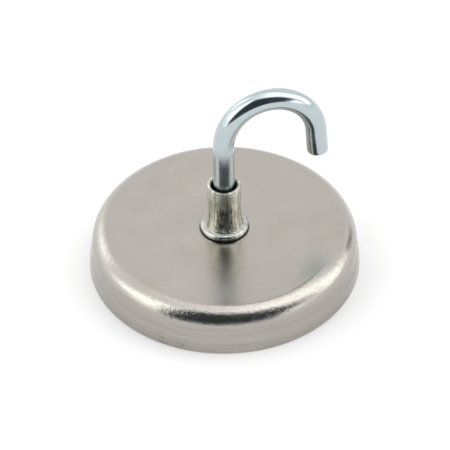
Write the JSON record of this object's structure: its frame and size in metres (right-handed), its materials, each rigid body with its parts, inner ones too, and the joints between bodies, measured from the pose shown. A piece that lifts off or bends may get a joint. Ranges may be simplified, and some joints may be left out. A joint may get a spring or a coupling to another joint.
{
  "type": "magnet fishing magnet",
  "caption": "Round cup magnet with a drawn steel shell, ferrite ring, raised threaded boss and a screw-in wire hook for lifting or hanging.",
  "frame": {"origin": "centre of the cup's open rim, on the working face's plane", "axes": "+Z from the working face up through the boss and the hook's shank; the hook is bent in the XZ plane with its tip on the +X side"},
  "size_m": [0.08, 0.08, 0.0636],
  "materials": {
    "satin_nickel": "satin nickel plating over drawn steel, faint draw lines and scuffs",
    "ferrite": "sintered ferrite, ground dark grey face",
    "cast_resin": "cast dark epoxy",
    "adhesive": "cured adhesive film",
    "yellow_zinc": "pale yellow zinc plating with turned and drawn streaks",
    "plain_steel": "plain steel",
    "blue_zinc": "bright bluish zinc plating"
  },
  "bodies": {
    "magnet": {"cup_shell": "satin_nickel", "ring_magnet": "ferrite", "bond_film": "adhesive", "gap_seal_ring": "cast_resin", "threaded_boss": "yellow_zinc", "backing_washer": "plain_steel"},
    "hook": {"hook": "blue_zinc"}
  },
  "joints": [
    {"name": "hook_turn", "type": "hinge", "parent": "magnet", "child": "hook", "pos_m": [0, 0, 0.02], "axis": [0, 0, 1], "range_deg": [0, 315]}
  ]
}
